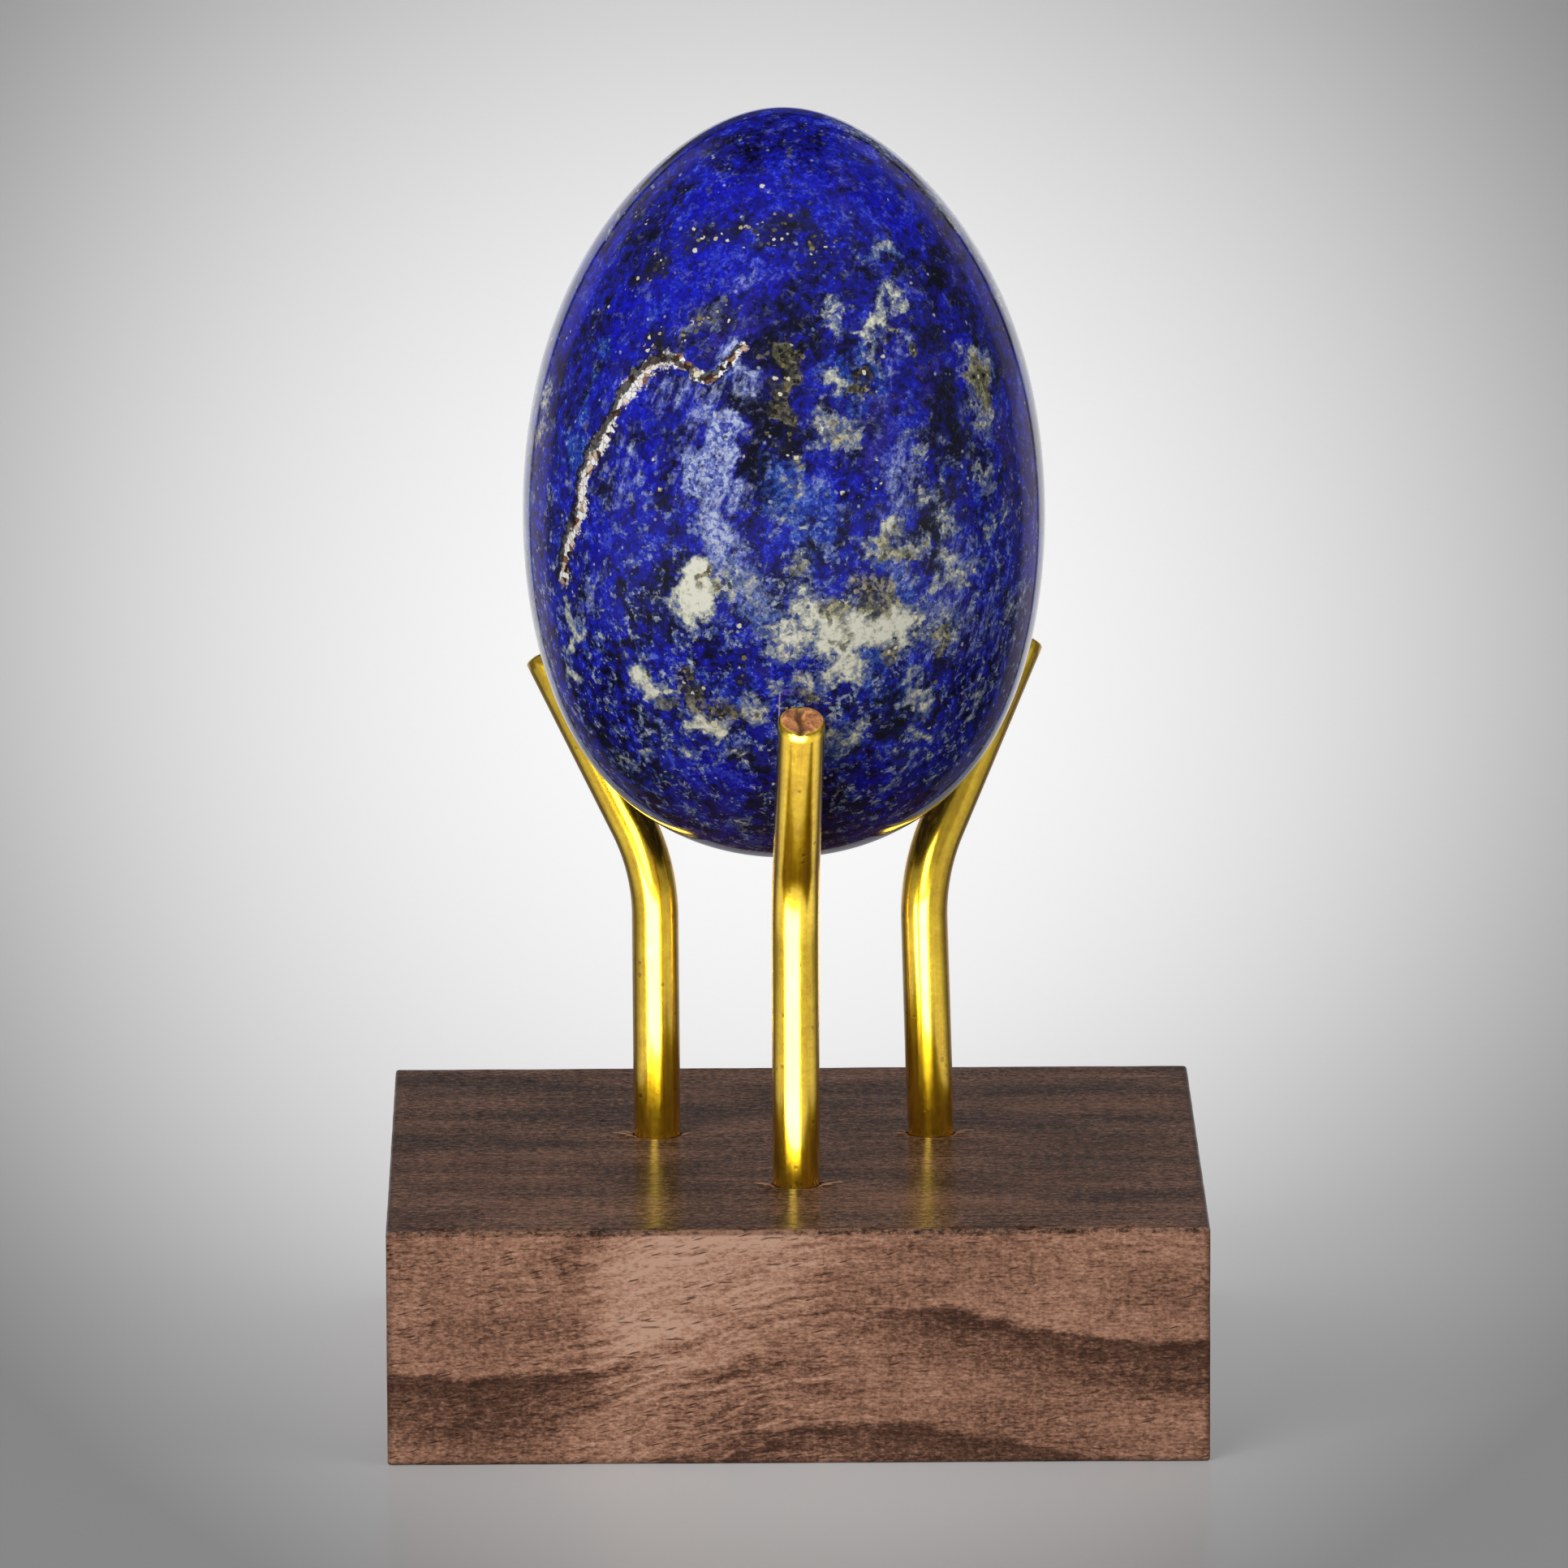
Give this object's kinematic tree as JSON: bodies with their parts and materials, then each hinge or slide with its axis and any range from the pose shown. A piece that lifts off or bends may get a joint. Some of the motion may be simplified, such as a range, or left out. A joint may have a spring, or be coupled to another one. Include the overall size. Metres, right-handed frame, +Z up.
{
  "type": "decorative egg on stand",
  "caption": "Polished blue stone egg that rests loose on bent brass rods set in a flat hardwood block, a small ornament for a shelf or desk.",
  "frame": {"origin": "middle of the block's underside", "axes": "+Z up along the egg's axis, +X to the right and -Y towards the front rod"},
  "size_m": [0.0688, 0.0658, 0.1096],
  "materials": {
    "walnut": "oiled",
    "brass_rod": "satin",
    "blue_stone": "polished"
  },
  "bodies": {
    "stand": {"base_block": "walnut", "front_rod": "brass_rod", "rear_right_rod": "brass_rod", "rear_left_rod": "brass_rod"},
    "egg": {"egg": "blue_stone"}
  },
  "joints": [
    {"name": "egg_lift", "type": "slide", "parent": "stand", "child": "egg", "axis": [0, 0, 1], "range_m": [0, 0.025]}
  ]
}
